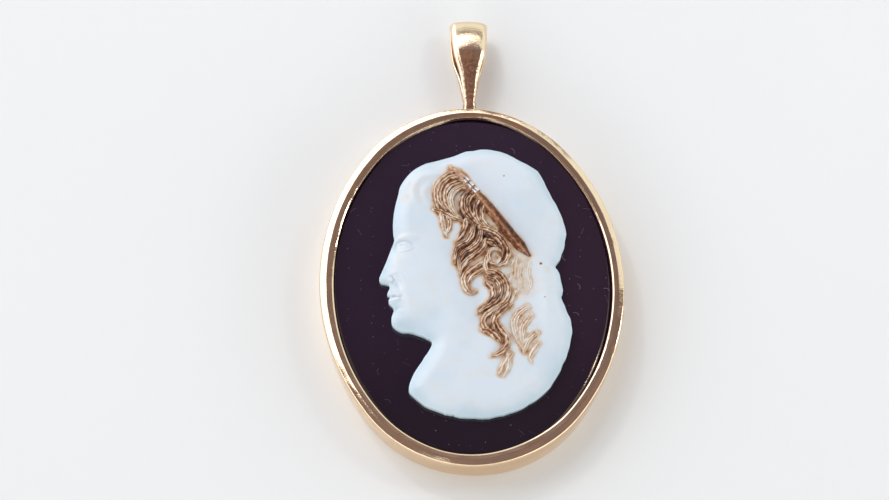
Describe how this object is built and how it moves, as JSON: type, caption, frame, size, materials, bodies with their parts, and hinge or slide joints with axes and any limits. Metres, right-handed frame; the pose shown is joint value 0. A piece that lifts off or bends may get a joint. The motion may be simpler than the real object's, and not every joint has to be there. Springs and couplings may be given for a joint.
{
  "type": "cameo pendant",
  "caption": "Oval pendant: layered stone carved with a classical head in profile, in a polished gold bezel with a tapered bail soldered to its top.",
  "frame": {"origin": "middle of the whole pendant, bail included, on the surface that its back lies on", "axes": "+Z out of the carved face, +Y up towards the bail, +X to the wearer's left, behind the carved head"},
  "size_m": [0.0322, 0.054, 0.0049],
  "materials": {
    "gold": "polished",
    "dark_stone": "polished",
    "white_stone": "satin",
    "brown_stone": "gloss"
  },
  "bodies": {
    "root": {"setting": "gold", "dark_layer": "dark_stone", "white_layer": "white_stone", "brown_layer": "brown_stone"}
  },
  "joints": []
}
